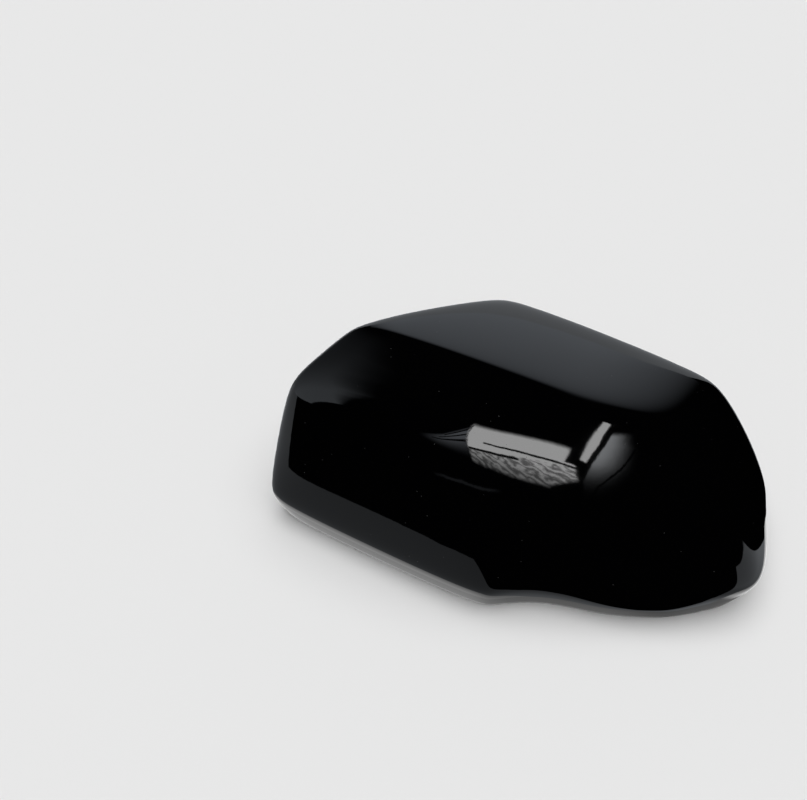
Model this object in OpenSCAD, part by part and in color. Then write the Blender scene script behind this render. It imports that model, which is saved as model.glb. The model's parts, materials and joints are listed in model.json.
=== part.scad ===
// Cover of a car's wing mirror, moulded in one piece with its clips, ribs and locating pegs.
// It lies open side down on its rim. X runs from the inboard end to the outboard tip,
// Y from the lower edge to the upper edge as mounted, and Z out through the painted face.
// The outside is one smooth field: crowned faces, each with its own sizes, blended where they meet.

/* [Belt, rim and wall] */
// Height of the belt, the widest line of the cover, above the rim
belt_h = 17.25; // [15:0.25:21]
// Rise of the belt towards the tip
belt_rise = 5.5; // [0:0.5:7]
// How far the rim lies inside the belt
rim_inset = 4.25; // [2:0.25:6]
// Thickness of the moulded wall
wall_t = 2.6; // [2.2:0.1:3.4]

/* [Ridge] */
// Height of the ridge where the main face and the back facet would meet, above the rim
ridge_h = 107.5; // [100:0.5:114]
// Place of the ridge across the cover
ridge_y = -20.5; // [-28:0.5:-12]

/* [Main face] */
// Steepness in the middle of the main face across the cover, in degrees
main_slope = 19.75; // [17:0.25:24]
// Rise of the main face towards the tip, in degrees
main_rise = 1; // [-1:0.25:3]
// Radius of the main face along the cover
main_sweep = 2450; // [1200:50:4000]
// Radius of the main face up its slope
main_crown = 118; // [100:1:160]

/* [Back facet] */
// Fall of the back facet away from the ridge, in degrees
back_slope = 21.5; // [18:0.25:25]
// Rise of the back facet towards the tip, in degrees
back_rise = 0.5; // [-1:0.25:2]
// Radius of the back facet along the cover
back_sweep = 1050; // [700:50:2000]
// Radius of the back facet across the cover
back_crown = 2450; // [1000:50:4000]

/* [Lower flank] */
// Distance of the straight lower edge from the centre line
flank_reach = 79; // [76:0.5:84]
// Lean of the flank above the lower edge, in degrees from upright
flank_lean = 14; // [10:0.5:20]
// Where the lower edge starts to step in, along the cover
step_x = 4; // [-4:0.5:10]
// Length of the step
step_run = 61; // [50:0.5:70]
// How gently the step begins
step_kink = 3; // [2:0.5:8]
// Depth of the step
step_depth = 20.5; // [12:0.5:24]
// Height over which the step fades out
step_fade = 31.5; // [25:0.5:42]

/* [Inboard wall] */
// Direction that the inboard wall faces, in degrees from the tip
inboard_heading = 154.5; // [150:0.5:158]
// Distance of the inboard wall from the centre
inboard_reach = 92.25; // [88:0.25:98]
// Lean of the inboard wall, in degrees from upright
inboard_lean = 2; // [0:0.5:6]
// Radius of the inboard wall in plan
inboard_sweep = 880; // [400:20:1600]
// Radius of the inboard wall from belt to ridge
inboard_rise = 930; // [500:10:1500]

/* [Upper wall] */
// Direction that the upper wall faces, in degrees from the tip
upper_heading = 79.5; // [76:0.5:82]
// Distance of the upper wall from the centre
upper_reach = 79.25; // [76:0.25:83]
// Lean of the upper wall, in degrees from upright
upper_lean = 3; // [1:0.5:7]
// Radius of the upper wall in plan
upper_sweep = 1950; // [1000:50:3500]
// Radius of the upper wall from belt to facet
upper_rise = 575; // [350:5:900]

/* [Outboard end] */
// Direction that the lower outboard wall faces, in degrees from the tip
heel_heading = -64.5; // [-67:0.5:-61]
// Distance of the lower outboard wall from the centre
heel_reach = 75.25; // [73:0.25:79]
// Lean of the lower outboard wall, in degrees from upright
heel_lean = 26.5; // [22:0.5:29]
// Radius of the lower outboard wall in plan
heel_sweep = 1730; // [900:10:2500]
// Radius of the lower outboard wall from belt to ridge
heel_rise = 97; // [80:1:130]
// Direction that the tip faces, in degrees
tip_heading = 10; // [7:0.5:14]
// Distance of the tip from the centre
tip_reach = 121; // [117:0.5:126]
// Lean of the tip, in degrees from upright
tip_lean = 26; // [22:0.5:29]
// Radius of the tip in plan
tip_sweep = 920; // [600:10:1400]
// Radius of the tip from belt to ridge
tip_rise = 118; // [95:1:150]

/* [Edge softness] */
// Along the belt
belt_soft = 2.5; // [1.5:0.5:5]
// Along the ridge between the main face and the back facet
ridge_soft = 2.5; // [1.5:0.5:6]
// Between the main face and the flank
flank_soft = 6; // [4:0.5:10]
// Around the tip
tip_soft = 14; // [10:1:22]
// Around the upper outboard corner
corner_soft = 6.5; // [4:0.5:12]
// Between the top and the walls of the outboard end
shoulder_soft = 7.5; // [5:0.5:12]
// Between the main face and the inboard wall
inboard_soft = 11; // [8:0.5:20]
// Around the back facet, where its edges are crisper than elsewhere
facet_soft = 5.5; // [3:0.5:8]

/* [Snap clips] */
// Number of clips round the rim
clip_count = 10; // [6:1:14]
// Width of a clip
clip_w = 11; // [8:0.5:14]
// How far a clip's plate stands in from the wall
clip_reach = 6; // [5:0.5:8]
// Thickness of a clip's plate and cheeks
clip_t = 1.5; // [1.2:0.1:1.8]
// Height of a clip's lower edge above the rim
clip_low = 4; // [3:0.5:6]
// Height of a clip
clip_h = 20; // [16:1:24]
// How far a clip's barb stands out
barb = 1.6; // [1:0.1:2.2]

/* [Ribs] */
// Number of ribs across the inside
rib_count = 3; // [2:1:4]
// Distance between the ribs across
rib_pitch = 52; // [46:1:56]
// How far the ribs stand in from the wall
rib_h = 5; // [3:0.5:8]
// Thickness of the ribs
rib_t = 1.5; // [1.2:0.1:1.8]

/* [Locating pegs] */
// Diameter of a peg
peg_d = 5; // [4:0.5:7]
// Free length of a peg below its shelf
peg_len = 13; // [9:0.5:15]
// Distance of a peg from the inside of the wall
peg_set = 11; // [9:0.5:13]
// Place of the inboard peg, as a share of the way round from the tip
inboard_peg = 0.5; // [0.4:0.05:0.6]
// Width of the shelf that carries a peg
shelf_w = 16; // [12:0.5:20]
// Height of the shelf above the rim
shelf_z = 22; // [20:0.5:26]
// Thickness of the shelf
shelf_t = 2; // [1.6:0.1:2.6]

/* [Hidden] */
gloss_black = [0.02, 0.02, 0.022];

// The spine is the line under the ridge from which every column of the surface is drawn
spine_mid = [-22, -4];
spine_half = 30;

columns = 108;
outer_low_rows = 4;
outer_top_rows = 23;
inner_low_rows = 3;
inner_top_rows = 12;
solve_steps = 9;
first_guess = 45;
second_guess = 90;

cheek_points = 5;
rib_points = 16;
rib_low = 25;
probe = 0.5;
$fn = 48;

main_mid = [-20, -45];
facet_mid_y = 30;

// Where the belt starts to rise, and over what length
rise_x = 74;
rise_run = 34;
// Width of the zone beside the ridge in which the edges tighten
facet_run = 26;

main_tan = tan(main_slope);
back_tan = tan(back_slope);
ridge_run = ridge_y - main_mid.y;
facet_over = ridge_y - facet_mid_y;
main_h = ridge_h - ridge_run * main_tan + ridge_run * ridge_run / (2 * main_crown);
back_h = ridge_h + facet_over * facet_over / (2 * back_crown);
back_mid = [main_mid.x, ridge_y];

// Larger of two distances, rounded where they are alike
function smooth_max(a, b, soft) = (a + b + sqrt((a - b) * (a - b) + soft * soft)) / 2;

// Goes from 0 to 1 with no jump in slope or curvature
function ease(t) = let (u = min(max(t, 0), 1)) u * u * u * (u * (6 * u - 15) + 10);

// Height of point p above a sloping crowned face, squared to its slope
function above(p, h, mid, slope_tan, crown_y, rise, sweep, crown) =
    let (
        dx = p.x - mid.x,
        dy = p.y - mid.y,
        cy = p.y - crown_y
    )
    (p.z - h - dx * tan(rise) - dy * slope_tan + dx * dx / (2 * sweep) + cy * cy / (2 * crown))
        / sqrt(1 + slope_tan * slope_tan);

// Distance of point p outside a leaning wall that is curved in plan and up its height
function outside(p, heading, reach, lean, sweep, rise) =
    let (
        dz = p.z - belt_h,
        out = p.x * cos(heading) + p.y * sin(heading) - reach,
        along = p.y * cos(heading) - p.x * sin(heading),
        up = max(dz, 0)
    )
    (out + dz * tan(lean) + along * along / (2 * sweep) + up * up / (2 * rise)) * cos(lean);

// Leaves 0 with a quick turn, then levels out at 1 slowly
function turn_in(dx) =
    let (u = min((dx + sqrt(dx * dx + step_kink * step_kink)) / (2 * step_run), 1))
    1 - (1 - u) * (1 - u) * (1 - u);

// Distance outside the flank above the straight lower edge, with its step
function outside_flank(p) =
    let (step_in = step_depth * turn_in(p.x - step_x) * (1 - ease((p.z - belt_h) / step_fade)))
    (step_in - p.y - flank_reach + (p.z - belt_h) * tan(flank_lean)) * cos(flank_lean);

// Softness of an edge that tightens from the main face to the back facet; share is 0 to 1
function edge_soft(wide, share) = wide + (facet_soft - wide) * share;

// Everything above the belt
function upper_field(p) =
    let (
        main = above(p, main_h, main_mid, main_tan, main_mid.y, main_rise, main_sweep, main_crown),
        back = above(p, back_h, back_mid, -back_tan, facet_mid_y, back_rise, back_sweep, back_crown),
        flank = outside_flank(p),
        heel = outside(p, heel_heading, heel_reach, heel_lean, heel_sweep, heel_rise),
        tip = outside(p, tip_heading, tip_reach, tip_lean, tip_sweep, tip_rise),
        upper = outside(p, upper_heading, upper_reach, upper_lean, upper_sweep, upper_rise),
        inboard = outside(p, inboard_heading, inboard_reach, inboard_lean,
            inboard_sweep, inboard_rise),
        share = ease(0.5 + (back - main) / facet_run),
        top = smooth_max(smooth_max(main, back, ridge_soft), flank, flank_soft),
        end = smooth_max(smooth_max(heel, tip, tip_soft), upper, corner_soft),
        body = smooth_max(top, end, edge_soft(shoulder_soft, share))
    )
    smooth_max(body, inboard, edge_soft(inboard_soft, share));

// Height of the belt at a place along the cover
function belt_at(x) = belt_h + belt_rise * ease((x - rise_x) / rise_run);

// The cover's outside is where this is zero; it is negative inside
function cover_field(p) =
    let (h = belt_at(p.x))
    smooth_max(
        upper_field(p),
        upper_field([p.x, p.y, h]) + (h - p.z) * rim_inset / h,
        belt_soft
    );

// Distance along the ray from start in direction dir at which the field has the wanted value
function solve(start, dir, want, a, fa, b, fb, steps) =
    steps == 0 || abs(fb) < 1e-6 || fb == fa ? b :
    let (c = b - fb * (b - a) / (fb - fa))
    solve(start, dir, want, b, fb, c, cover_field(start + c * dir) - want, steps - 1);

function cast(start, dir, depth) =
    let (
        want = -depth,
        fa = cover_field(start + first_guess * dir) - want,
        fb = cover_field(start + second_guess * dir) - want
    )
    start + dir * solve(start, dir, want, first_guess, fa, second_guess, fb, solve_steps);

function spine(angle) = [spine_mid.x + spine_half * cos(angle), spine_mid.y];

// Height of the belt in a column of the surface
function belt_z(angle) = belt_at(low_point(angle, belt_h, 0).x);

// Point of the skin at a height below the belt, and at an elevation above it
function low_point(angle, z, depth) =
    cast([spine(angle).x, spine(angle).y, z], [cos(angle), sin(angle), 0], depth);
function top_point(angle, base, elevation, depth) =
    cast([spine(angle).x, spine(angle).y, base],
        [cos(angle) * cos(elevation), sin(angle) * cos(elevation), sin(elevation)], depth);

// Rows lie closer together at the belt and at the ridge, where the skin curves most
function row_share(i, rows) = sin(90 * i / rows);
function row_elevation(i, rows) = let (t = i / rows) 90 * (0.4 * t + 0.3 * (1 - cos(180 * t)));

belt_heights = [for (j = [0:columns - 1]) belt_z(360 * j / columns)];

function ring(i, low_rows, top_rows, depth) = [
    for (j = [0:columns - 1])
        let (angle = 360 * j / columns, base = belt_heights[j])
        i < low_rows
            ? low_point(angle, base * row_share(i, low_rows), depth)
            : top_point(angle, base, row_elevation(i - low_rows, top_rows), depth)
];

function crest(depth) = [
    for (j = [0:columns / 2]) top_point(360 * j / columns, belt_h, 90, depth)
];

function skin_points(low_rows, top_rows, depth) = concat(
    [for (i = [0:low_rows + top_rows - 1]) each ring(i, low_rows, top_rows, depth)],
    crest(depth)
);

// Whether corner c of the four-sided patch a, b, c, d lies behind the plane of the other three
function folds_back(a, b, c, d) = cross(b - a, d - a) * (c - a) < 0;

// Triangles between the rings and up to the crest, wound to face out, or in when turned. Each
// patch is split along the diagonal that stands out, so that the edges of the cover stay clean.
function skin_faces(points, rings, first, turned) =
    let (
        at = function (i, j) i == rings
            ? rings * columns + min(j % columns, columns - j % columns)
            : i * columns + j % columns,
        halves = function (a, b, c, d)
            d == c ? [[a, b, c]] :
            folds_back(points[a], points[b], points[c], points[d])
                ? [[a, b, d], [b, c, d]]
                : [[a, b, c], [a, c, d]]
    )
    [
        for (i = [0:rings - 1])
            for (j = [0:columns - 1])
                for (t = halves(at(i, j), at(i, j + 1), at(i + 1, j + 1), at(i + 1, j)))
                    [for (k = turned ? [0, 1, 2] : [2, 1, 0]) first + t[k]]
    ];

outer_rings = outer_low_rows + outer_top_rows;
inner_rings = inner_low_rows + inner_top_rows;
outer_points = skin_points(outer_low_rows, outer_top_rows, 0);
inner_points = skin_points(inner_low_rows, inner_top_rows, wall_t);
inner_first = len(outer_points);

rim_faces = [
    for (j = [0:columns - 1])
        let (k = (j + 1) % columns)
        each [
            [j, k, inner_first + k],
            [j, inner_first + k, inner_first + j]
        ]
];

belt_ring = ring(outer_low_rows, outer_low_rows, outer_top_rows, 0);
belt_low = [min([for (p = belt_ring) p.x]), min([for (p = belt_ring) p.y])];
belt_high = [max([for (p = belt_ring) p.x]), max([for (p = belt_ring) p.y])];
middle = (belt_low + belt_high) / 2;

module shell() {
    polyhedron(
        points = concat(outer_points, inner_points),
        faces = concat(
            skin_faces(outer_points, outer_rings, 0, false),
            skin_faces(inner_points, inner_rings, inner_first, true),
            rim_faces
        )
    );
}

// Length of the belt from the tip round to each column, and the angle at a length
belt_steps = [
    for (j = [0:columns - 1]) norm(belt_ring[(j + 1) % columns] - belt_ring[j])
];
belt_runs = [
    for (j = 0, run = 0; j <= columns; run = run + belt_steps[j % columns], j = j + 1)
        [run, 360 * j / columns]
];
belt_run = belt_runs[columns][0];
clip_pitch = belt_run / clip_count;
function angle_at(run) = lookup(run, belt_runs);

// The inboard peg stands midway between two clips, at the far end from the tip
inboard_run = clip_pitch * round(clip_count * inboard_peg);

// Direction in plan in which the wall faces at point p
function facing(p) =
    let (
        gx = cover_field(p + [probe, 0, 0]) - cover_field(p - [probe, 0, 0]),
        gy = cover_field(p + [0, probe, 0]) - cover_field(p - [0, probe, 0])
    )
    atan2(gy, gx);

// Local outward distance from p, at height z, of the surface at a depth in the wall
function wall_at(p, heading, z, depth) =
    let (
        start = [p.x, p.y, z],
        dir = [cos(heading), sin(heading), 0],
        fa = cover_field(start) + depth,
        fb = cover_field(start - clip_reach * dir) + depth
    )
    solve(start, dir, -depth, 0, fa, -clip_reach, fb, solve_steps);

// Turns a profile drawn as outward distance and height into an upright plate
module upright(thickness) {
    rotate([90, 0, 0]) linear_extrude(thickness, center = true) children();
}

// A snap clip: two cheeks grown out of the wall carry a plate with a barb
module clip(angle) {
    foot = low_point(angle, clip_low, wall_t);
    heading = facing(foot);
    top = clip_low + clip_h;
    wall_side = [
        for (i = [0:cheek_points])
            let (z = clip_low + clip_h * i / cheek_points)
            [wall_at(foot, heading, z, wall_t / 2), z]
    ];
    plate_x = -clip_reach;
    translate([foot.x, foot.y, 0]) rotate([0, 0, heading]) {
        for (side = [-1, 1])
            translate([0, side * (clip_w - clip_t) / 2, 0])
                upright(clip_t)
                    polygon(concat(wall_side, [[plate_x, top], [plate_x, clip_low]]));
        upright(clip_w)
            polygon([
                [plate_x, clip_low],
                [plate_x, top],
                [plate_x - clip_t, top],
                [plate_x - clip_t, clip_low + 3 * barb],
                [plate_x - clip_t - barb, clip_low + 2 * barb],
                [plate_x - clip_t, clip_low]
            ]);
    }
}

// Points of the skin's section in an upright plane through the spine
function section(start, heading, depth) = [
    for (i = [0:rib_points])
        let (
            e = rib_low + (180 - 2 * rib_low) * i / rib_points,
            dir = [cos(heading) * cos(e), sin(heading) * cos(e), sin(e)],
            p = cast(start, dir, depth) - start
        )
        [p.x * cos(heading) + p.y * sin(heading), p.z]
];

function reversed(list) = [for (i = [len(list) - 1:-1:0]) list[i]];

// A rib that follows the inside of the skin
module rib(start, heading) {
    translate(start) rotate([0, 0, heading])
        upright(rib_t)
            polygon(concat(
                section(start, heading, wall_t / 2),
                reversed(section(start, heading, wall_t + rib_h))
            ));
}

module ribs() {
    for (i = [0:rib_count - 1])
        rib([spine_mid.x + rib_pitch * (i - (rib_count - 1) / 2), spine_mid.y, belt_h], 90);
    rib([spine_mid.x, spine_mid.y, belt_h], 0);
}

// A shelf at one end of the cover with a locating peg under it
module peg(angle) {
    foot = low_point(angle, shelf_z, wall_t);
    heading = facing(foot);
    edge = wall_at(foot, heading, shelf_z + shelf_t / 2, wall_t / 2);
    reach = peg_set + shelf_w / 2;
    translate([foot.x, foot.y, shelf_z]) rotate([0, 0, heading]) {
        translate([-reach, -shelf_w / 2, 0]) cube([reach + edge, shelf_w, shelf_t]);
        translate([-peg_set, 0, -peg_len]) cylinder(d = peg_d, h = peg_len + shelf_t / 2);
    }
}

module cover() {
    color(gloss_black)
        translate([-middle.x, -middle.y, 0])
            union() {
                shell();
                for (i = [0:clip_count - 1]) clip(angle_at((i + 0.5) * clip_pitch));
                ribs();
                for (run = [0, inboard_run]) peg(angle_at(run));
            }
}

cover();
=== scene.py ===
import json
from math import atan2, cos, pi, radians, sin, tan

import bpy
import numpy as np
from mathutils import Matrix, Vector

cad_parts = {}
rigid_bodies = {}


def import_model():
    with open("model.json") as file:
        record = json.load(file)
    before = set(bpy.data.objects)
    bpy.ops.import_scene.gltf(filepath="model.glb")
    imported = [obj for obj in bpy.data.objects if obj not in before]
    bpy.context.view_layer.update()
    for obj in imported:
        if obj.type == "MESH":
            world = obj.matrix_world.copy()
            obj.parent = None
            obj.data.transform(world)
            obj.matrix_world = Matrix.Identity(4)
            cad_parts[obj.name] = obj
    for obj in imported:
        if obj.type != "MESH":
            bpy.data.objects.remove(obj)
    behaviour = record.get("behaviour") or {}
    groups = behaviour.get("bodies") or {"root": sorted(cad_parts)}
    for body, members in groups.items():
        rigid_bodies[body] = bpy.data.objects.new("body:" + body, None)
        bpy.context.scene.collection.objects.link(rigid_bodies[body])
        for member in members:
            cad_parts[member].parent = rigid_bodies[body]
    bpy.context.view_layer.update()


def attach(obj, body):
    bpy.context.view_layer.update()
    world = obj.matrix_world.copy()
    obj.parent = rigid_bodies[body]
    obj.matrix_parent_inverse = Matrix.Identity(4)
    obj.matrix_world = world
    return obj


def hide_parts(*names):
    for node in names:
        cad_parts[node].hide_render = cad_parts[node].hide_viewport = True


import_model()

# ---------------------------------------------------------------- the cover's sizes
# Millimetres and degrees. The lower edge, the wall and what is inside have the same
# values as in the part's source, and the dome above them has its own.

MM = 0.001
BELT_H = 17.25
BELT_RISE = 5.5
RISE_X = 74.0
RISE_RUN = 34.0
RIM_INSET = 4.25
WALL_T = 2.6
SKIN_DEEP = 0.1

# A face has its height at its middle, its slopes towards the back and the tip, and the
# radii of its curves along and across. A wall has its heading, its reach from the origin
# at the belt, its lean inwards, and the radii of its curves in plan and up its height.
MAIN_FACE = dict(height=94.62, slope=17.68, rise=-0.37, sweep=3379.0, crown=133.1,
                 middle=(-20.0, -45.0), crown_y=-45.0)
BACK_FACET = dict(height=103.45, slope=-18.86, rise=-0.37, sweep=1901.0, crown=2576.0,
                  middle=(-20.0, -20.5), crown_y=30.0)
FLANK = dict(reach=79.0, lean=17.0, step_x=4.0, step_run=61.0, step_kink=3.0,
             step_depth=20.5, step_fade=31.6)
INBOARD = dict(heading=154.5, reach=92.25, lean=-0.81, sweep=880.0, rise=1110.0)
UPPER = dict(heading=79.5, reach=79.25, lean=-1.0, sweep=1950.0, rise=865.0)
HEEL = dict(heading=-64.5, reach=75.25, lean=28.82, sweep=1730.0, rise=589.0)
TIP = dict(heading=10.0, reach=121.0, lean=26.82, sweep=920.0, rise=109.1)
BELT_SOFT = 2.5
RIDGE_SOFT = 1.64
FLANK_SOFT = 6.94
TIP_SOFT = 14.0
CORNER_SOFT = 7.5
SHOULDER_SOFT = 7.5
INBOARD_SOFT = 10.4
FACET_SOFT = 6.87
FACET_RUN = 26.0
SPINE_MIDDLE = (-22.0, -4.0)
SPINE_HALF = 30.0

CLIP_COUNT = 10
CLIP_W = 11.0
CLIP_REACH = 6.0
CLIP_T = 1.5
CLIP_LOW = 4.0
CLIP_H = 20.0
BARB = 1.6
RIB_COUNT = 3
RIB_PITCH = 52.0
RIB_H = 5.0
RIB_T = 1.5
RIB_LOW = 25.0
PEG_R = 2.5
PEG_LEN = 13.0
PEG_SET = 11.0
PEG_PLACES = dict(peg_outboard=(103.634, -7.438), peg_inboard=(-86.482, -16.295))
PEG_CHAMFER = 0.6
SHELF_W = 16.0
SHELF_Z = 22.0
SHELF_T = 2.0
EDGE_ROUND = 0.25
SHELF_ROUND = 0.3
RIM_EASE = 0.35
RIM_TUCK = 0.3 * RIM_EASE

# How finely the pieces are drawn
COLUMNS = 384
BELT_COLUMNS = 108
OUTER_LOW_ROWS = 12
OUTER_TOP_ROWS = 84
INNER_LOW_ROWS = 6
INNER_TOP_ROWS = 44
EVEN_SHARE = 0.4
CHEEK_ROWS = 9
RIB_STATIONS = 65
PEG_SIDES = 48

# How the skin is searched for, in millimetres where it isn't a count
RAY_REACH = 170.0
SHORT_REACH = 40.0
STAND_BACK = 12.0
HALVINGS = 44
PROBE = 0.5
SEATINGS = 3

UP = np.array([0.0, 0.0, 1.0])


# ---------------------------------------------------------------- the surface
# The outside is where one field is zero: crowned faces, blended where they meet.

def smooth_max(a, b, soft):
    return 0.5 * (a + b + np.sqrt((a - b) ** 2 + soft * soft))


def ease(t):
    t = np.clip(t, 0, 1)
    return t ** 3 * (t * (6 * t - 15) + 10)


def above_face(p, face):
    """Height above a sloping crowned face, squared to its slope."""
    dx = p[..., 0] - face["middle"][0]
    dy = p[..., 1] - face["middle"][1]
    cy = p[..., 1] - face["crown_y"]
    slope = tan(radians(face["slope"]))
    rise = tan(radians(face["rise"]))
    over = p[..., 2] - face["height"] - dx * rise - dy * slope
    crowned = over + dx ** 2 / (2 * face["sweep"]) + cy ** 2 / (2 * face["crown"])
    return crowned / np.sqrt(1 + slope ** 2)


def outside_wall(p, wall):
    """Distance outside a leaning wall that is curved in plan and up its height."""
    heading, lean = radians(wall["heading"]), radians(wall["lean"])
    dz = p[..., 2] - BELT_H
    out = p[..., 0] * cos(heading) + p[..., 1] * sin(heading) - wall["reach"]
    along = p[..., 1] * cos(heading) - p[..., 0] * sin(heading)
    up = np.maximum(dz, 0)
    curved = along ** 2 / (2 * wall["sweep"]) + up ** 2 / (2 * wall["rise"])
    return (out + dz * tan(lean) + curved) * cos(lean)


def turn_in(dx):
    """Leaves 0 with a quick turn, then levels out at 1 slowly."""
    u = 0.5 * (dx + np.sqrt(dx ** 2 + FLANK["step_kink"] ** 2)) / FLANK["step_run"]
    return 1 - (1 - np.clip(u, 0, 1)) ** 3


def outside_flank(p):
    """Distance outside the flank above the straight lower edge, with its step."""
    lean = radians(FLANK["lean"])
    dz = p[..., 2] - BELT_H
    step = FLANK["step_depth"] * turn_in(p[..., 0] - FLANK["step_x"])
    step = step * (1 - ease(dz / FLANK["step_fade"]))
    return (step - p[..., 1] - FLANK["reach"] + dz * tan(lean)) * cos(lean)


def upper_field(p):
    """The faces and walls above the belt; the blends tighten round the back facet."""
    back = above_face(p, BACK_FACET)
    front = smooth_max(above_face(p, MAIN_FACE), outside_flank(p), FLANK_SOFT)
    front = smooth_max(front, outside_wall(p, HEEL), SHOULDER_SOFT)
    share = ease(0.5 + (back - front) / FACET_RUN)
    end = smooth_max(outside_wall(p, TIP), outside_wall(p, UPPER), CORNER_SOFT)
    body = smooth_max(front, back, RIDGE_SOFT)
    body = smooth_max(body, end, TIP_SOFT + (FACET_SOFT - TIP_SOFT) * share)
    inboard_soft = INBOARD_SOFT + (FACET_SOFT - INBOARD_SOFT) * share
    return smooth_max(body, outside_wall(p, INBOARD), inboard_soft)


def belt_at(x):
    """Height of the belt, which rises a little towards the tip."""
    return BELT_H + BELT_RISE * ease((x - RISE_X) / RISE_RUN)


def cover_field(p):
    """Distance outside the cover: the dome above the belt, and the return below it."""
    height = belt_at(p[..., 0])
    belt = p.copy()
    belt[..., 2] = height
    turned_in = upper_field(belt) + (height - p[..., 2]) * RIM_INSET / height
    return smooth_max(upper_field(p), turned_in, BELT_SOFT)


def cast(start, heading, depth, far=RAY_REACH):
    """Points where rays from inside meet the skin at a depth in the wall."""
    low = np.zeros(heading.shape[:-1])
    high = np.full(heading.shape[:-1], far)
    for _ in range(HALVINGS):
        half = 0.5 * (low + high)
        beyond = cover_field(start + half[..., None] * heading) + depth > 0
        high = np.where(beyond, half, high)
        low = np.where(beyond, low, half)
    return start + (0.5 * (low + high))[..., None] * heading


def skin_grid(low_rows, top_rows, depth, columns=COLUMNS, foot=0.0):
    """Rows of skin points from the rim, or a little above it, up to the crest."""
    angle = np.linspace(0, 2 * pi, columns + 1)
    along = np.stack([np.cos(angle), np.sin(angle), 0 * angle], 1)
    centre = np.stack([SPINE_MIDDLE[0] + SPINE_HALF * np.cos(angle),
                       np.full_like(angle, SPINE_MIDDLE[1]), 0 * angle], 1)
    base = belt_at(cast(centre + BELT_H * UP, along, 0.0)[:, 0])
    rows = []
    for i in range(low_rows):
        z = foot + (base - foot) * sin(pi / 2 * i / low_rows)
        rows.append(cast(centre + z[:, None] * UP, along, depth))
    for i in range(top_rows + 1):
        t = i / top_rows
        lift = pi / 2 * (EVEN_SHARE * t + (1 - EVEN_SHARE) / 2 * (1 - cos(pi * t)))
        level = base if i < top_rows else np.full_like(base, BELT_H)
        rows.append(cast(centre + level[:, None] * UP, along * cos(lift) + UP * sin(lift), depth))
    return np.array(rows)


belt_line = skin_grid(1, 1, 0.0, columns=BELT_COLUMNS)[1]
MIDDLE = 0.5 * (belt_line.min(0) + belt_line.max(0))
MIDDLE[2] = 0.0


def placed(points):
    """Field millimetres to metres in the row frame."""
    return (np.asarray(points, float) - MIDDLE) * MM


# ---------------------------------------------------------------- modelling helpers

ANY_SIZE = 0.1          # a primitive's size before its points are laid
SAME_PLACE = 1e-7       # metres between points that are one
BEVEL_SEGMENTS = 2
BEVEL_LIMIT = 35
SMOOTH_LIMIT = 38


def clear_selection():
    if bpy.context.object and bpy.context.object.mode != "OBJECT":
        bpy.ops.object.mode_set(mode="OBJECT")
    for o in bpy.context.view_layer.objects:
        o.select_set(False)


def pick(obj):
    clear_selection()
    obj.select_set(True)
    bpy.context.view_layer.objects.active = obj


def named(name):
    obj = bpy.context.object
    obj.name = name
    obj.data.name = name
    return obj


def edit(obj, *steps):
    """Runs edit-mode steps on everything in the piece."""
    pick(obj)
    bpy.ops.object.mode_set(mode="EDIT")
    bpy.ops.mesh.select_all(action="SELECT")
    for step in steps:
        step()
    bpy.ops.object.mode_set(mode="OBJECT")


def merge_doubles():
    bpy.ops.mesh.remove_doubles(threshold=SAME_PLACE)


def face_out():
    bpy.ops.mesh.normals_make_consistent(inside=False)


def thickened(obj, step):
    """Pulls a flat piece out into a solid along a step in metres."""
    edit(obj,
         lambda: bpy.ops.mesh.extrude_region_move(TRANSFORM_OT_translate={"value": tuple(step)}),
         lambda: bpy.ops.mesh.select_all(action="SELECT"),
         face_out)


def lay_points(obj, points):
    """Puts the piece's points where they belong, in metres."""
    obj.data.vertices.foreach_set("co", np.asarray(points, np.float32).ravel())
    obj.data.update()


def joined(name, parts):
    clear_selection()
    for part in parts:
        part.select_set(True)
    bpy.context.view_layer.objects.active = parts[0]
    bpy.ops.object.join()
    return named(name)


def select_where(obj, wanted):
    """Selects the faces whose middle and normal pass the test."""
    pick(obj)
    bpy.ops.object.mode_set(mode="EDIT")
    bpy.ops.mesh.select_mode(type="FACE")
    bpy.ops.mesh.select_all(action="DESELECT")
    bpy.ops.object.mode_set(mode="OBJECT")
    for face in obj.data.polygons:
        face.select = bool(wanted(face.center, face.normal))
    bpy.ops.object.mode_set(mode="EDIT")


def bevelled(obj, width):
    pick(obj)
    soft = obj.modifiers.new("edges", "BEVEL")
    soft.width = width
    soft.segments = BEVEL_SEGMENTS
    soft.limit_method = "ANGLE"
    soft.angle_limit = radians(BEVEL_LIMIT)
    bpy.ops.object.modifier_apply(modifier=soft.name)


def smoothed(obj):
    pick(obj)
    bpy.ops.object.shade_smooth_by_angle(angle=radians(SMOOTH_LIMIT))


# ---------------------------------------------------------------- the shell

def skin_sheet(name, rows, material):
    """A grid wrapped round the cover and sewn up at its seam and its crest."""
    clear_selection()
    bpy.ops.mesh.primitive_grid_add(
        x_subdivisions=COLUMNS, y_subdivisions=len(rows) - 1, size=ANY_SIZE)
    sheet = named(name)
    lay_points(sheet, placed(rows.reshape(-1, 3)))
    for owner in (gloss_lacquer, moulded_satin):
        sheet.data.materials.append(owner)
    faces = sheet.data.polygons
    faces.foreach_set("material_index", [material] * len(faces))
    edit(sheet, merge_doubles)
    return sheet


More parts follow.
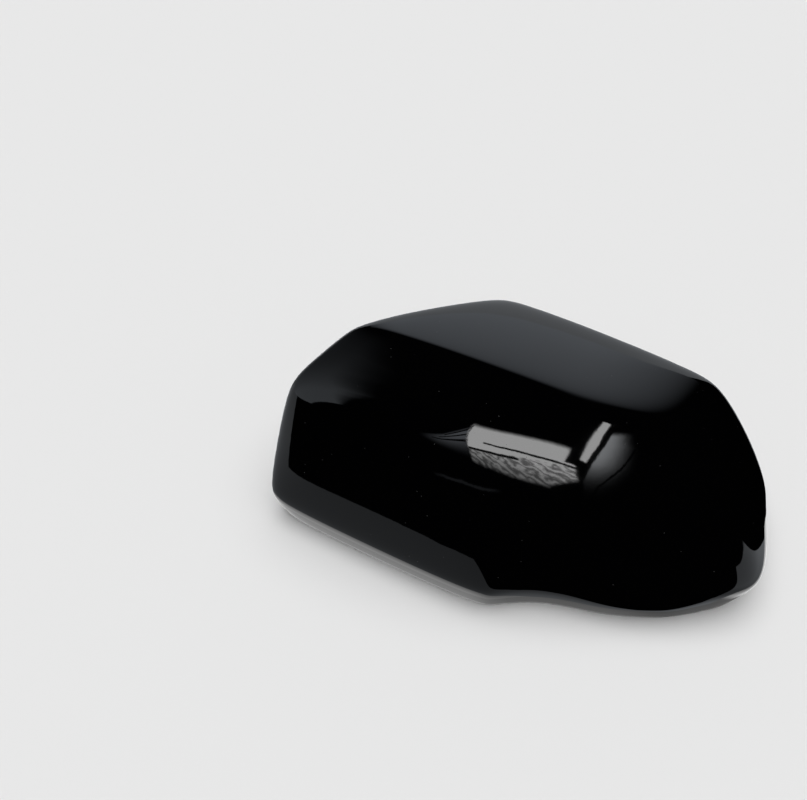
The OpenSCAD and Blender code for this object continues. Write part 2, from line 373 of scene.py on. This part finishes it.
def make_shell():
    """Outer skin with its eased rim, sewn to the inner skin along the rim."""
    outer = skin_grid(OUTER_LOW_ROWS, OUTER_TOP_ROWS, SKIN_DEEP, foot=RIM_EASE)
    inner = skin_grid(INNER_LOW_ROWS, INNER_TOP_ROWS, WALL_T)
    edge = skin_grid(1, 1, SKIN_DEEP)[0]
    inwards = inner[0] - edge
    inwards = inwards / np.linalg.norm(inwards, axis=1)[:, None]
    rim = np.array([inner[0], edge + RIM_EASE * inwards, edge + RIM_TUCK * (inwards + UP)])
    outer_sheet = skin_sheet("outer_skin", np.concatenate([rim, outer]), 0)
    inner_sheet = skin_sheet("inner_skin", inner, 1)
    shell = joined("cover_shell", [outer_sheet, inner_sheet])
    edit(shell, merge_doubles, face_out)
    smoothed(shell)
    return shell


# ---------------------------------------------------------------- what is moulded inside

def outward(heading):
    """Unit step in plan along a heading."""
    return np.array([cos(heading), sin(heading), 0.0])


def sideways(heading):
    """Unit step in plan across a heading, to its left."""
    return np.array([-sin(heading), cos(heading), 0.0])


def facing(x, y, z):
    """Heading in which the wall faces."""
    at = np.array([[x + PROBE, y, z], [x - PROBE, y, z], [x, y + PROBE, z], [x, y - PROBE, z]])
    f = cover_field(at)
    return atan2(f[2] - f[3], f[0] - f[1])


def wall_foot(angle, z):
    """Point of the inner skin at a height, and the heading of the wall there."""
    start = np.array([[SPINE_MIDDLE[0] + SPINE_HALF * cos(angle), SPINE_MIDDLE[1], z]])
    p = cast(start, outward(angle)[None], WALL_T)[0]
    return p, facing(*p)


def wall_at(foot, heading, z, depth):
    """How far out from a foot a depth in the wall lies at a height."""
    way = outward(heading)[None]
    start = np.array([[foot[0], foot[1], z]]) - STAND_BACK * way
    p = cast(start, way, depth, far=SHORT_REACH)[0]
    return float((p - start[0]) @ way[0]) - STAND_BACK


def plate(name, profile, heading, foot, thick, side=0.0):
    """A plate from a profile of outward distance and height, set upright on its heading."""
    clear_selection()
    bpy.ops.mesh.primitive_circle_add(vertices=len(profile), radius=ANY_SIZE, fill_type="NGON")
    piece = named(name)
    base = np.array([foot[0], foot[1], 0.0]) + sideways(heading) * (side - thick / 2)
    lay_points(piece, placed([base + outward(heading) * out + UP * z for out, z in profile]))
    thickened(piece, sideways(heading) * thick * MM)
    return piece


def belt_angle(run):
    """Angle round the cover at a length of belt from the tip."""
    steps = np.linalg.norm(np.diff(belt_line, axis=0), axis=1)
    runs = np.concatenate([[0], np.cumsum(steps)])
    return float(np.interp(run * runs[-1], runs, np.linspace(0, 2 * pi, len(belt_line))))


def snap_clip(number):
    """Two cheeks grown out of the wall carry a plate with a barb."""
    foot, heading = wall_foot(belt_angle((number + 0.5) / CLIP_COUNT), CLIP_LOW)
    top = CLIP_LOW + CLIP_H
    heights = np.linspace(CLIP_LOW, top, CHEEK_ROWS)
    wall_side = [(wall_at(foot, heading, z, WALL_T / 2), z) for z in heights]
    cheek = wall_side + [(-CLIP_REACH, top), (-CLIP_REACH, CLIP_LOW)]
    tongue = [
        (-CLIP_REACH, CLIP_LOW),
        (-CLIP_REACH, top),
        (-CLIP_REACH - CLIP_T, top),
        (-CLIP_REACH - CLIP_T, CLIP_LOW + 3 * BARB),
        (-CLIP_REACH - CLIP_T - BARB, CLIP_LOW + 2 * BARB),
        (-CLIP_REACH - CLIP_T, CLIP_LOW),
    ]
    side = (CLIP_W - CLIP_T) / 2
    parts = [plate("cheek", cheek, heading, foot, CLIP_T, s) for s in (-side, side)]
    tongue_piece = plate("tongue", tongue, heading, foot, CLIP_W)
    bevelled(tongue_piece, EDGE_ROUND * MM)
    return joined(f"snap_clip_{number + 1}", parts + [tongue_piece])


def rib(name, start, heading):
    """A rib that follows the inside of the skin."""
    lifts = np.radians(np.linspace(RIB_LOW, 180 - RIB_LOW, RIB_STATIONS))[:, None]
    rays = np.cos(lifts) * outward(heading) + np.sin(lifts) * UP
    across = sideways(heading) * RIB_T / 2
    rows = [cast(start, rays, depth) - across for depth in (WALL_T / 2, WALL_T + RIB_H)]
    clear_selection()
    bpy.ops.mesh.primitive_grid_add(
        x_subdivisions=RIB_STATIONS - 1, y_subdivisions=1, size=ANY_SIZE)
    piece = named(name)
    lay_points(piece, placed(np.concatenate(rows)))
    thickened(piece, 2 * across * MM)
    bevelled(piece, EDGE_ROUND * MM)
    return piece


def make_ribs():
    """Ribs across the cover at an even pitch, and one along it."""
    middle = np.array([*SPINE_MIDDLE, BELT_H])
    offsets = [RIB_PITCH * (i - (RIB_COUNT - 1) / 2) for i in range(RIB_COUNT)]
    parts = [rib("rib_across", middle + (offset, 0, 0), pi / 2) for offset in offsets]
    parts.append(rib("rib_along", middle, 0.0))
    return joined("stiffening_ribs", parts)


def locating_peg(name):
    """A shelf at one end of the cover with a peg under it, chamfered at its end."""
    axis = np.array([*PEG_PLACES[name], 0.0]) + MIDDLE
    foot, heading = wall_foot(0.0 if axis[0] > 0 else pi, SHELF_Z)
    for _ in range(SEATINGS):
        foot = foot + sideways(heading) * float((axis - foot) @ sideways(heading))
        foot = foot + outward(heading) * wall_at(foot, heading, SHELF_Z, WALL_T)
        heading = facing(*foot)
    side = float((axis - foot) @ sideways(heading))
    low, middle, high = SHELF_Z, SHELF_Z + SHELF_T / 2, SHELF_Z + SHELF_T
    edge = wall_at(foot, heading, middle, WALL_T / 2)
    reach = PEG_SET + SHELF_W / 2
    shelf_profile = [(-reach, low), (edge, low), (edge, high), (-reach, high)]
    shelf = plate("shelf", shelf_profile, heading, foot, SHELF_W, side)
    bevelled(shelf, SHELF_ROUND * MM)
    bottom = SHELF_Z - PEG_LEN
    place = placed(axis + UP * (middle + bottom) / 2)
    clear_selection()
    bpy.ops.mesh.primitive_cylinder_add(
        vertices=PEG_SIDES, radius=PEG_R * MM, depth=(middle - bottom) * MM, location=place)
    peg = named("peg")
    pick(peg)
    bpy.ops.object.transform_apply(location=True, rotation=True, scale=True)
    select_where(peg, lambda centre, normal: normal.z < 0 and centre.z < (bottom + PEG_R) * MM)
    bpy.ops.mesh.bevel(offset=PEG_CHAMFER * MM, segments=BEVEL_SEGMENTS, affect="EDGES")
    bpy.ops.object.mode_set(mode="OBJECT")
    return joined(name, [shelf, peg])


# ---------------------------------------------------------------- materials
# Scales are in repeats per metre, and the bumps' distances in metres.

PEEL_SCALE, DRIFT_SCALE, HAZE_SCALE, DUST_SCALE = 260.0, 14.0, 60.0, 420.0
DUST_GRAIN, DUST_CHOICE, DUST_COVER = (0.06, 0.14), (0.93, 0.95), 0.6
DEEP_BLACK, WARM_BLACK = (0.0003, 0.0003, 0.0004), (0.0006, 0.0006, 0.0007)
DUST_GREY = (0.05, 0.05, 0.05)
GRAIN_SCALE, FLOW_SCALE = 1400.0, 22.0
SATIN_DARK, SATIN_PALE = (0.011, 0.011, 0.012), (0.02, 0.02, 0.021)


class Wire:
    """A shader socket whose arithmetic adds Math nodes."""

    def __init__(self, finish, socket):
        self.finish = finish
        self.socket = socket

    def _maths(self, operation, *values):
        return self.finish.node("ShaderNodeMath", dict(operation=operation),
                                dict(enumerate(values)))

    def __add__(self, other):
        return self._maths("ADD", self, other)

    def __radd__(self, other):
        return self._maths("ADD", other, self)

    def __sub__(self, other):
        return self._maths("SUBTRACT", self, other)

    def __rsub__(self, other):
        return self._maths("SUBTRACT", other, self)

    def __mul__(self, other):
        return self._maths("MULTIPLY", self, other)

    def __rmul__(self, other):
        return self._maths("MULTIPLY", other, self)

    def __pow__(self, other):
        return self._maths("POWER", self, other)

    def __abs__(self):
        return self._maths("ABSOLUTE", self)

    def sine(self):
        return self._maths("SINE", self)

    def smaller(self, other):
        return self._maths("MINIMUM", self, other)

    def larger(self, other):
        return self._maths("MAXIMUM", self, other)

    def eased(self, low, high):
        """0 below low, 1 above high, with a soft change between them."""
        return self.finish.node(
            "ShaderNodeMapRange", dict(interpolation_type="SMOOTHSTEP"),
            {"Value": self, "From Min": low, "From Max": high, "To Min": 0.0, "To Max": 1.0},
            "Result")


class Finish:
    """The node tree of a material or a world under construction."""

    def __init__(self, owner):
        owner.use_nodes = True
        self.owner = owner
        self.tree = owner.node_tree
        self.tree.nodes.clear()

    def feed(self, socket, value):
        if isinstance(value, Wire):
            self.tree.links.new(value.socket, socket)
        elif isinstance(value, (tuple, list)) and len(value) == 3 and socket.type == "RGBA":
            socket.default_value = (*value, 1.0)
        else:
            socket.default_value = value

    def node(self, kind, settings=None, inputs=None, output=0):
        """Adds a node: its settings first, then the values or links of its sockets."""
        node = self.tree.nodes.new(kind)
        for key, value in (settings or {}).items():
            setattr(node, key, value)
        for key, value in (inputs or {}).items():
            self.feed(node.inputs[key], value)
        return Wire(self, node.outputs[output])

    def place(self, output="Object"):
        """Where a point is: on the object, in its UV map or as a direction."""
        return self.node("ShaderNodeTexCoord", output=output)

    def axes(self, vector):
        """The X, Y and Z of a vector."""
        split = self.tree.nodes.new("ShaderNodeSeparateXYZ")
        self.feed(split.inputs[0], vector)
        return [Wire(self, socket) for socket in split.outputs]

    def end(self, surface, kind="ShaderNodeOutputMaterial"):
        out = self.tree.nodes.new(kind)
        self.tree.links.new(surface.socket, out.inputs["Surface"])
        return self.owner

    def glow(self, colour, strength):
        """Ends a material as light of a colour and a strength."""
        return self.end(self.node("ShaderNodeEmission", None,
                                  {"Color": colour, "Strength": strength}))


def mixed_colour(finish, share, first, second):
    mix = finish.tree.nodes.new("ShaderNodeMix")
    mix.data_type = "RGBA"
    colour_sockets = [s for s in mix.inputs if s.type == "RGBA"]
    finish.feed(mix.inputs[0], share)
    finish.feed(colour_sockets[0], first)
    finish.feed(colour_sockets[1], second)
    return Wire(finish, [s for s in mix.outputs if s.type == "RGBA"][0])


def noise(finish, place, scale, detail=2.0, roughness=0.5):
    values = {"Vector": place, "Scale": scale, "Detail": detail, "Roughness": roughness}
    return finish.node("ShaderNodeTexNoise", dict(noise_dimensions="3D"), values, "Fac")


def bumped(finish, height, strength, distance):
    values = {"Strength": strength, "Distance": distance, "Height": height}
    return finish.node("ShaderNodeBump", None, values, "Normal")


def new_material(name):
    return Finish(bpy.data.materials.new(name))


def gloss_lacquer_finish():
    """Deep black lacquer: a faint peel in the gloss, a little haze and a few grains of dust."""
    finish = new_material("gloss_lacquer")
    place = finish.place()
    peel = noise(finish, place, PEEL_SCALE)
    drift = noise(finish, place, DRIFT_SCALE, detail=3.0)
    haze = noise(finish, place, HAZE_SCALE, detail=4.0, roughness=0.6)
    cells = dict(feature="F1"), {"Vector": place, "Scale": DUST_SCALE}
    grains = finish.node("ShaderNodeTexVoronoi", *cells, "Distance")
    draw = finish.node("ShaderNodeTexVoronoi", *cells, "Color")
    chosen = finish.node("ShaderNodeSeparateColor", None, {"Color": draw})
    dust = (1 - grains.eased(*DUST_GRAIN)) * chosen.eased(*DUST_CHOICE)
    black = mixed_colour(finish, drift, DEEP_BLACK, WARM_BLACK)
    return finish.end(finish.node("ShaderNodeBsdfPrincipled", None, {
        "Base Color": mixed_colour(finish, dust * DUST_COVER, black, DUST_GREY),
        "Roughness": 0.018 + haze * 0.02 + dust * 0.25,
        "IOR": 1.5,
        "Normal": bumped(finish, peel, strength=0.2, distance=0.00002)}))


def moulded_satin_finish():
    """The bare moulded side: satin black plastic with a fine grain and flow marks."""
    finish = new_material("moulded_satin")
    place = finish.place()
    grain = noise(finish, place, GRAIN_SCALE, detail=3.0, roughness=0.6)
    flow = noise(finish, place, FLOW_SCALE, detail=3.0, roughness=0.55)
    return finish.end(finish.node("ShaderNodeBsdfPrincipled", None, {
        "Base Color": mixed_colour(finish, flow, SATIN_DARK, SATIN_PALE),
        "Roughness": 0.36 + flow * 0.14 + grain * 0.06,
        "IOR": 1.48,
        "Normal": bumped(finish, grain, strength=0.35, distance=0.00004)}))


gloss_lacquer = gloss_lacquer_finish()
moulded_satin = moulded_satin_finish()

# ---------------------------------------------------------------- the studio
# Metres and degrees, with the cover's middle at x = y = 0. A light of 1 is white.

PALE = 0.807
WHITE = (1.0, 1.0, 1.0)
BLACK = (0.0, 0.0, 0.0)
SKY_SHARE = 0.15
HORIZON = (-0.05, 0.05)
SUN_SPREAD = 70.0
FLOOR_SIZE = 12.0
TENT_RADIUS = 6.0
TENT_RINGS = 24
CARD_DISTANCE = 5.0
CARD_CELLS = 32
FULL_LIGHT = 6.9
LINE_END = 0.01

# The creases in the softbox cloth, in radians, and the rest in shares of the card
CREASE_ALONG, CREASE_ACROSS, CREASE_BEND = 34.0, 52.0, 26.0
CREASE_NOISE = 7.0
CREASE_DEPTH = 0.6
CLOTH_SLOPE, CLOTH_SOFT = 0.26, 0.02
CLOTH_LIGHT, CLOTH_LIFT = 0.06, 0.5
CORNER_FROM, CORNER_CUT = 0.75, 0.9
HEM_EASE = (-0.01, 0.05)
NOTCH_LEAN, NOTCH_FROM, NOTCH_ABOVE = 0.2, (0.98, 1.02), (0.49, 0.53)

# Where the lit table ends, as corners in plan round the cover
TABLE_EDGE = [
    (5.0, -1.3), (5.0, 1.0), (0.60, 0.135), (0.19, 0.050), (0.130, 0.038), (0.122, 0.06),
    (0.12, 0.12), (0.12, 0.25), (0.20, 0.80), (0.6, 5.0), (-5.0, 5.0), (-4.5, -4.03),
    (-0.165, -0.150), (-0.06, -0.161), (-0.03, -0.170), (0.015, -0.215), (0.024, -0.12),
    (0.030, -0.08), (0.075, -0.05), (0.11, -0.035), (0.20, -0.058)]
TABLE_Z = 0.0006
TABLE_GAP = 1.001
DARK_REACH = 9.0
UNDER_SHARE = (0.88, 0.86, 1.0)
WHITE_WIDTH, WHITE_TIP_WIDTH = 0.1, 0.25
WHITE_FADE, WHITE_TIP_X, WHITE_TIP_RUN = 0.03, 0.107, 0.006

# Stretches of x or y over which the table's light changes
PAST_MIDDLE, PAST_STEP, PAST_TIP = (-0.005, 0.02), (0.05, 0.09), (0.112, 0.122)
FAR_RIGHT, FAR_LEFT, TO_THE_FRONT = (0.13, 0.2), (-0.22, -0.12), (-0.05, 0.02)
BEHIND, FAR_BEHIND = (0.02, 0.2), (0.2, 0.4)

# The table's light, and how much of it goes or comes in those stretches
FOOT_LIGHT = dict(level=0.70, past_middle=0.45, past_step=0.28)
WHITE_LIGHT = dict(level=0.95, past_middle=0.5, past_step=0.25)
GREY_LIGHT = dict(level=0.28, front_left=0.2, right=0.25, behind=0.06)
GREY_TINT = (0.95, 1.0, 1.06)


def glossy_only(obj):
    """A card that is seen in the gloss and nowhere else."""
    obj.visible_camera = False
    obj.visible_diffuse = False
    obj.visible_transmission = False
    obj.visible_volume_scatter = False
    obj.visible_shadow = False
    return obj


def dark_line(u, v, line):
    """1 along a thin line from (u0, v0) to (u1, v1) of the given width, 0 beside it."""
    u0, v0, u1, v1, width = line
    away = abs(v - (v0 + (u - u0) * ((v1 - v0) / (u1 - u0))))
    near = 1 - away.eased(0.5 * width, width)
    begun, ended = (u.eased(end - LINE_END, end + LINE_END) for end in (u0, u1))
    return near * begun * (1 - ended)


def folds(finish, u, v, hem):
    """Bright and dark creases in the lower part of a card, down to a slanting hem."""
    bend = noise(finish, finish.place("UV"), CREASE_NOISE, detail=3.0)
    crease = (u * CREASE_ALONG + v * CREASE_ACROSS + bend * CREASE_BEND).sine()
    open_part = (v - u * CLOTH_SLOPE).eased(hem - CLOTH_SOFT, hem + CLOTH_SOFT)
    notch = (u + (1 - v) * NOTCH_LEAN).eased(*NOTCH_FROM) * v.eased(*NOTCH_ABOVE)
    cloth = (CLOTH_LIGHT + v * CLOTH_LIFT) * (1 + CREASE_DEPTH * crease)
    cloth = cloth * (v - (u - CORNER_FROM).larger(0.0) * CORNER_CUT).eased(*HEM_EASE)
    return (open_part + (1 - open_part) * cloth) * (1 - notch)


def card_finish(name, colour, strength, soft, lines, hem, power):
    """A lit card that fades at its ends and sides: soft is start, end, near side, far side."""
    finish = new_material(name)
    u, v, _ = finish.axes(finish.place("UV"))
    light = u.eased(0.0, soft[0]) * (1 - u.eased(1 - soft[1], 1.0))
    light = light * v.eased(0.0, soft[2]) * (1 - v.eased(1 - soft[3], 1.0))
    if hem:
        light = light * folds(finish, u, v, hem)
    for line in lines:
        light = light * (1 - dark_line(u, v, line))
    return finish.glow(colour, (light ** power * strength).smaller(FULL_LIGHT))


def towards(way):
    """The card's point in the direction of an azimuth and an elevation."""
    azimuth, elevation = radians(way[0]), radians(way[1])
    level = outward(azimuth) * cos(elevation)
    return CARD_DISTANCE * (level + UP * sin(elevation))


def station(line, share):
    """The azimuth and elevation at a share of the way along a line of even stations."""
    at = share * (len(line) - 1)
    return np.array([np.interp(at, range(len(line)), values) for values in zip(*line)])


def card(name, near, far, colour, strength, soft, lines=(), hem=0.0, power=1.0):
    """A far card between two lines of azimuth and elevation, as seen from the cover.

    Its shares u and v run from 0 to 1, along the lines and from the near to the far one.
    A dark line is (u0, v0, u1, v1, width), the cloth below the hem's share of v is creased,
    and a higher power makes the light fade sooner.
    """
    clear_selection()
    bpy.ops.mesh.primitive_grid_add(
        x_subdivisions=CARD_CELLS, y_subdivisions=CARD_CELLS, size=ANY_SIZE)
    obj = named(name)
    shares = [i / CARD_CELLS for i in range(CARD_CELLS + 1)]
    lay_points(obj, [towards((1 - v) * station(near, u) + v * station(far, u))
                     for v in shares for u in shares])
    obj.data.materials.append(card_finish(name, colour, strength, soft, lines, hem, power))
    return glossy_only(obj)


def dark_tent():
    """Dark cloth all round, so that the gloss stays black between the cards."""
    clear_selection()
    bpy.ops.mesh.primitive_uv_sphere_add(
        segments=2 * TENT_RINGS, ring_count=TENT_RINGS, radius=TENT_RADIUS)
    tent = named("dark_tent")
    tent.data.materials.append(new_material("tent_cloth").glow(BLACK, 0.0))
    return glossy_only(tent)


def pale_floor():
    """The floor keeps the cover's soft shadow; from below it is clear, to show the inside."""
    clear_selection()
    bpy.ops.mesh.primitive_plane_add(size=FLOOR_SIZE, location=(0, 0, 0))
    floor = named("floor")
    finish = new_material("floor_sheet")
    under = finish.node("ShaderNodeNewGeometry", output="Backfacing")
    paint = finish.node("ShaderNodeBsdfDiffuse", None, {"Color": (PALE, PALE, PALE)})
    clear = finish.node("ShaderNodeBsdfTransparent")
    both = finish.node("ShaderNodeMixShader", None, {0: under, 1: paint, 2: clear})
    floor.data.materials.append(finish.end(both))
    floor.visible_diffuse = False
    floor.visible_shadow = False
    return floor


def ringed_card(name, inner, outer, colour, light_at):
    """A flat card between two closed lines; light_at gives its light from x and y."""
    clear_selection()
    bpy.ops.mesh.primitive_circle_add(vertices=len(inner), radius=ANY_SIZE)
    obj = named(name)
    edit(obj, bpy.ops.mesh.extrude_edges_move)
    lay_points(obj, np.concatenate([inner, outer]))
    finish = new_material(name)
    x, y, _ = finish.axes(finish.place())
    obj.data.materials.append(finish.glow(colour, light_at(x, y)))
    return glossy_only(obj)


def table_edge(line):
    """The table's edge in the directions of a closed line, never inside it."""
    corners = [*TABLE_EDGE, TABLE_EDGE[0]]
    turns = np.unwrap([atan2(y, x) for x, y in corners])
    out = []
    for px, py, _ in line:
        turn = turns[0] + (atan2(py, px) - turns[0]) % (2 * pi)
        i = min(int(np.searchsorted(turns, turn, side="right")) - 1, len(TABLE_EDGE) - 1)
        (ax, ay), (bx, by) = corners[i], corners[i + 1]
        x, y = cos(turn), sin(turn)
        reach = (ax * by - ay * bx) / (x * (by - ay) - y * (bx - ax))
        reach = max(reach, TABLE_GAP * float(np.hypot(px, py)))
        out.append((reach * x, reach * y, TABLE_Z))
    return np.array(out)


# Painted shade: the table cards lose light under the cover's overhang and towards its tip.
def dimmed(light, x):
    """The share of a light that is left after two steps to the right."""
    return (1 - light["past_middle"] * x.eased(*PAST_MIDDLE)
            - light["past_step"] * x.eased(*PAST_STEP))


def foot_light(x, y):
    """Under the belt the table is in painted shade: bright to the left, dimmer to the right."""
    return FOOT_LIGHT["level"] * dimmed(FOOT_LIGHT, x)


def white_light(x, y):
    """The same close round the cover, and bright again beyond the tip."""
    return WHITE_LIGHT["level"] * (dimmed(WHITE_LIGHT, x) + x.eased(*PAST_TIP))


def grey_light(x, y):
    """The rest of the top: brighter far left in front, far right, and a little behind."""
    front_left = (1 - x.eased(*FAR_LEFT)) * (1 - y.eased(*TO_THE_FRONT))
    right = x.eased(*FAR_RIGHT) * (1 - y.eased(*FAR_BEHIND))
    return (GREY_LIGHT["level"] + GREY_LIGHT["front_left"] * front_left
            + GREY_LIGHT["right"] * right + GREY_LIGHT["behind"] * y.eased(*BEHIND))


def table_cards():
    """What the gloss shows of the table: white close in, a grey top, and dark beyond it."""
    belt = (belt_line[:-1] - MIDDLE) * MM
    after = np.roll(belt, -1, 0)
    belt = np.concatenate([[b + (a - b) * quarter / 4 for quarter in range(4)]
                           for b, a in zip(belt, after)])
    belt[:, 2] = TABLE_Z
    x = belt[:, 0:1]
    white = belt * (1 + WHITE_WIDTH * (1 - ease(x / WHITE_FADE))
                    + WHITE_TIP_WIDTH * ease((x - WHITE_TIP_X) / WHITE_TIP_RUN))
    white[:, 2] = TABLE_Z
    edge = table_edge(white)
    dark = edge * (DARK_REACH / np.hypot(edge[:, 0], edge[:, 1]))[:, None]
    dark[:, 2] = TABLE_Z
    ringed_card("table_foot", belt * UNDER_SHARE, belt, WHITE, foot_light)
    ringed_card("table_white", belt, white, WHITE, white_light)
    ringed_card("table_grey", white, edge, GREY_TINT, grey_light)
    ringed_card("table_dark", edge, dark, BLACK, lambda x, y: 0.0)


def studio_world():
    """White for light; the pale backdrop for the camera, the gloss and clear parts."""
    world = bpy.data.worlds.new("studio")
    bpy.context.scene.world = world
    finish = Finish(world)
    camera_ray, glossy_ray, clear_ray = (
        finish.node("ShaderNodeLightPath", output=kind)
        for kind in ("Is Camera Ray", "Is Glossy Ray", "Is Transmission Ray"))
    direct = (camera_ray + glossy_ray + clear_ray).smaller(1.0)
    height = finish.axes(finish.place("Generated"))[2]
    light = 1.0 - height.eased(*HORIZON) * (1 - SKY_SHARE)
    strength = direct * PALE + (1 - direct) * light
    glow = finish.node("ShaderNodeBackground", None, {"Color": WHITE, "Strength": strength})
    finish.end(glow, "ShaderNodeOutputWorld")


def overhead_light():
    """A wide soft light overhead, for a short soft shadow round the cover."""
    lamp = bpy.data.lights.new("overhead", "SUN")
    lamp.angle = radians(SUN_SPREAD)
    lamp.energy = pi * (1 - SKY_SHARE)
    obj = bpy.data.objects.new("overhead", lamp)
    bpy.context.scene.collection.objects.link(obj)
    obj.visible_glossy = False


studio_world()
overhead_light()
pale_floor()
dark_tent()
table_cards()

# The highlight on the front: a soft box with creased cloth below two dark lines
card("softbox",
     near=[(-69.2, 15.5), (-50.0, 12.5)],
     far=[(-72.5, 56.0), (-62.5, 42.0), (-56.0, 33.4), (-49.4, 26.0)],
     colour=WHITE, strength=20.0, soft=(0.06, 0.03, 0.002, 0.42), hem=0.21,
     lines=[(0.22, 0.43, 1.0, 0.47, 0.032), (0.03, 0.21, 0.56, 0.30, 0.032)])
# The narrow strip to its right
card("strip_light",
     near=[(-48.2, 20.2), (-44.6, 27.0), (-41.6, 33.6), (-38.9, 40.2)],
     far=[(-49.1, 21.2), (-47.0, 27.6), (-42.9, 37.5), (-39.0, 46.6)],
     colour=WHITE, strength=16.0, soft=(0.03, 0.08, 0.16, 0.50))
# The glow beyond the strip, fading to the right
card("side_glow",
     near=[(-50.3, 9.5), (-49.4, 16.0), (-47.3, 20.4), (-43.3, 27.2), (-39.4, 34.5)],
     far=[(-48.5, 8.5), (-43.5, 13.0), (-38.5, 18.5), (-33.5, 26.0), (-33.0, 31.0)],
     colour=(0.97, 1.0, 1.04), strength=3.6, soft=(0.6, 0.12, 0.02, 0.98), power=3.0,
     lines=[(0.05, 0.20, 0.74, 0.72, 0.03)])
# The wedge of streaks to the left of the highlight
card("fan",
     near=[(-93.0, 20.0), (-81.0, 17.0), (-68.9, 16.0)],
     far=[(-93.0, 28.0), (-80.0, 36.0), (-70.5, 50.0)],
     colour=(0.94, 1.0, 1.1), strength=1.2, soft=(0.95, 0.01, 0.6, 0.25),
     lines=[(0.3, 0.52, 0.99, 0.40, 0.05), (0.45, 0.66, 0.99, 0.62, 0.04),
            (0.55, 0.80, 0.99, 0.84, 0.05)])
# A faint thin line below it
card("far_edge",
     near=[(-93.0, -3.6), (-84.0, 2.4), (-74.7, 7.0), (-62.7, 10.6)],
     far=[(-93.0, -2.6), (-84.0, 3.4), (-74.7, 8.0), (-62.7, 11.2)],
     colour=(0.95, 1.0, 1.1), strength=0.16, soft=(0.5, 0.1, 0.3, 0.3))
# The grey that the facet behind the ridge shows
card("backdrop",
     near=[(128.0, -0.5), (78.0, -0.5)],
     far=[(127.0, 10.0), (110.0, 25.0), (100.0, 38.0), (88.0, 58.0), (68.0, 70.0)],
     colour=(0.93, 1.0, 1.1), strength=0.38, soft=(0.22, 0.36, 0.001, 0.5))
# The grey at the cover's left end
card("side_panel",
     near=[(237.5, -0.5), (203.0, -0.5), (124.0, -0.5)],
     far=[(243.5, 22.0), (241.5, 32.0), (238.0, 42.0), (231.0, 55.0), (221.0, 64.0),
          (200.0, 68.0), (175.0, 70.0), (155.0, 68.0), (138.0, 60.0), (124.0, 46.0)],
     colour=(0.93, 1.0, 1.08), strength=0.66, soft=(0.02, 0.74, 0.001, 0.20))

# ---------------------------------------------------------------- the pieces

shell = make_shell()
snap_clips = joined("snap_clips", [snap_clip(i) for i in range(CLIP_COUNT)])
ribs = make_ribs()
pegs = joined("locating_pegs", [locating_peg(name) for name in PEG_PLACES])
for inside in (snap_clips, ribs, pegs):
    inside.data.materials.clear()
    inside.data.materials.append(moulded_satin)
    smoothed(inside)
for piece in (shell, snap_clips, ribs, pegs):
    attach(piece, "root")
    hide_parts("cover")

# ---------------------------------------------------------------- the camera
# Degrees, millimetres and pixels of the picture

CAMERA_AZIMUTH = 28.156
CAMERA_ELEVATION = 45.932
CAMERA_DISTANCE = 427.94
CAMERA_TARGET = (-98.801, 34.774, 0.0)
FOCAL_PIXELS = 675.31
PHOTO_WIDTH = 807
SENSOR_WIDTH = 36.0

azimuth, elevation = radians(CAMERA_AZIMUTH), radians(CAMERA_ELEVATION)
away = Vector((sin(azimuth) * cos(elevation), -cos(azimuth) * cos(elevation), sin(elevation)))
target = Vector(placed(CAMERA_TARGET))
lens = bpy.data.cameras.new("camera")
lens.sensor_width = SENSOR_WIDTH
lens.lens = SENSOR_WIDTH * FOCAL_PIXELS / PHOTO_WIDTH
lens.clip_start, lens.clip_end = 0.01, 50.0
camera = bpy.data.objects.new("camera", lens)
bpy.context.scene.collection.objects.link(camera)
camera.location = target + away * CAMERA_DISTANCE * MM
camera.rotation_euler = (-away).to_track_quat("-Z", "Y").to_euler()
bpy.context.scene.camera = camera

bpy.context.scene.view_settings.view_transform = "Standard"
